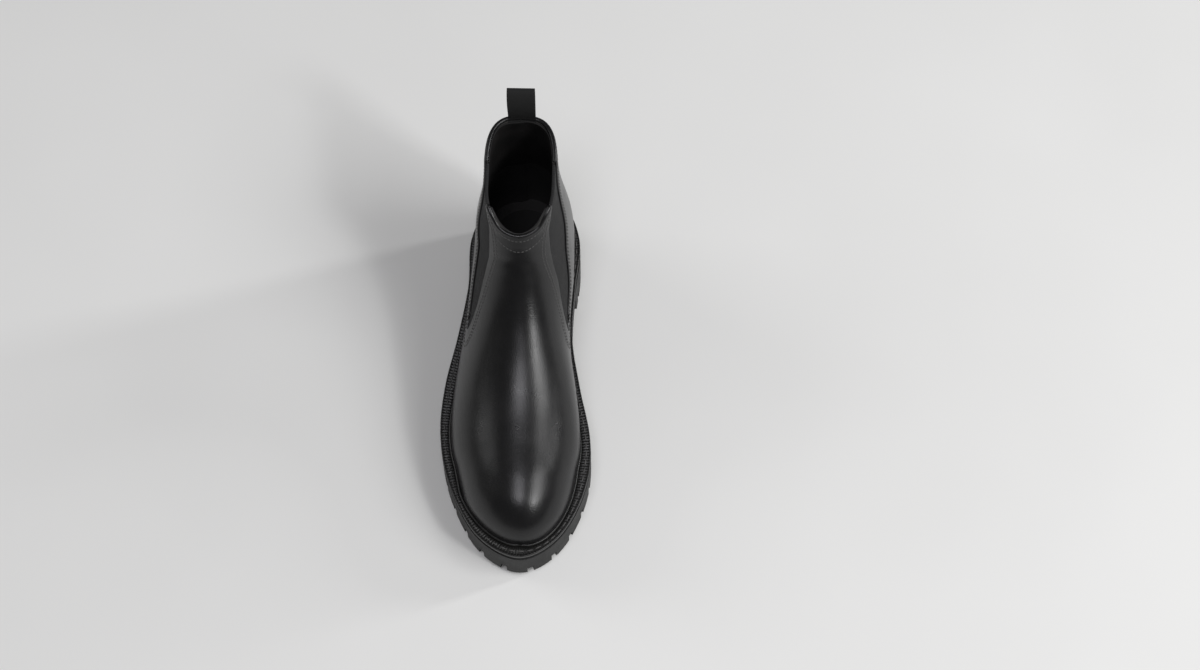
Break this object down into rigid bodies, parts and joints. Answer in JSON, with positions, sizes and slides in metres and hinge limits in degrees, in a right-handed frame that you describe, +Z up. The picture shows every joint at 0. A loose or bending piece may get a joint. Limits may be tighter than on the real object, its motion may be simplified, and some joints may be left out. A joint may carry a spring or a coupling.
{
  "type": "chelsea boot",
  "caption": "Ankle-high pull-on boot in smooth leather, with elastic side gores, a heel pull tab, a stitched storm welt and a thick lugged rubber sole.",
  "frame": {"origin": "on the floor under the middle of the boot's length and width, the treads standing on Z = 0", "axes": "+Z up, +Y towards the heel, so the toe points along -Y, +X towards the wearer's other foot (inner side)"},
  "size_m": [0.1054, 0.2801, 0.2],
  "materials": {
    "upper_leather": "smooth, semi-gloss, fine grain",
    "lining_leather": "smooth, satin",
    "heel_suede": "napped, matt",
    "elastic": "ribbed elastic webbing, matt",
    "webbing": "woven ribbon, matt",
    "stiffener": "pressed fibre, matt",
    "outsole_rubber": "matt, moulded",
    "midsole_rubber": "satin",
    "welt_leather": "dyed and waxed, satin",
    "thread": "waxed thread",
    "cork": "granular cork",
    "steel": "plain",
    "board": "fibre board"
  },
  "bodies": {
    "boot": {"outsole": "outsole_rubber", "heel_block": "outsole_rubber", "heel_nails": "steel", "midsole": "midsole_rubber", "welt": "welt_leather", "storm_rand": "welt_leather", "welt_stitching": "thread", "cork_filler": "cork", "shank": "steel", "insole_board": "board", "sock_liner": "lining_leather", "heel_pad": "heel_suede", "vamp": "upper_leather", "toe_puff": "stiffener", "vamp_interlining": "stiffener", "vamp_lining": "lining_leather", "quarter_base": "upper_leather", "heel_counter": "stiffener", "heel_grip": "heel_suede", "gore_lateral": "elastic", "gore_medial": "elastic"},
    "back_cuff": {"quarter_lateral": "upper_leather", "quarter_medial": "upper_leather", "backstay": "upper_leather", "quarter_interlining": "stiffener", "quarter_lining_lateral": "lining_leather", "quarter_lining_medial": "lining_leather", "pull_tab_ends": "webbing"},
    "tab_loop": {"pull_tab": "webbing"}
  },
  "joints": [
    {"name": "cuff_stretch", "type": "hinge", "parent": "boot", "child": "back_cuff", "pos_m": [0.00238, 0.1348, 0.0992], "axis": [-1, 0, 0], "range_deg": [0, 6], "stiffness_Nm_per_rad": 30, "deforming": ["gore_lateral", "gore_medial"]},
    {"name": "pull_tab_fold", "type": "hinge", "parent": "back_cuff", "child": "tab_loop", "pos_m": [0.00238, 0.1257, 0.1668], "axis": [1, 0, 0], "range_deg": [-75, 75], "stiffness_Nm_per_rad": 0.05}
  ]
}
